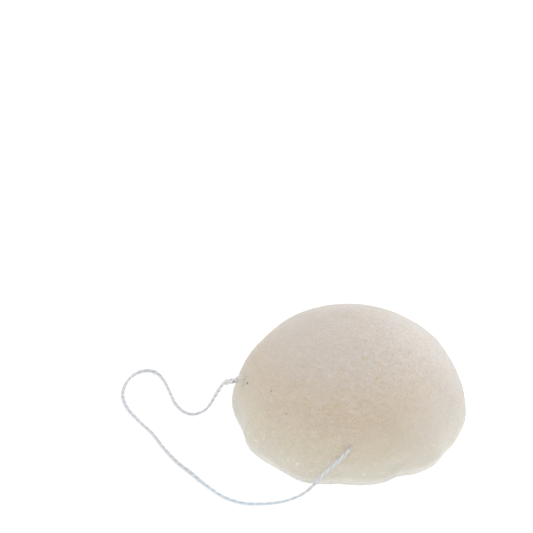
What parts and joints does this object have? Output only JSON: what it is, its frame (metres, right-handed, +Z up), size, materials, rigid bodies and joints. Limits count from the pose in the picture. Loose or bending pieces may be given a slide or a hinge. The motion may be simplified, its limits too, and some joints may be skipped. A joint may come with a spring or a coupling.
{
  "type": "half-ball konjac sponge with a hanging string",
  "caption": "Soft plant-fibre facial sponge in a half-ball shape with a flat face, and a cotton string loop that runs through it for hanging it to dry.",
  "frame": {"origin": "centre of the sponge's flat base, on the surface it stands on", "axes": "+Z up through the dome's crown, +X to the right as the picture sees it, +Y away from the viewer; the string lies at -X and -Y"},
  "size_m": [0.1152, 0.0826, 0.037],
  "materials": {
    "foam": "matte",
    "string": "matte"
  },
  "bodies": {
    "root": {"sponge": "foam", "string_core": "string", "string_loop": "string", "closing_knot": "string"}
  },
  "joints": []
}
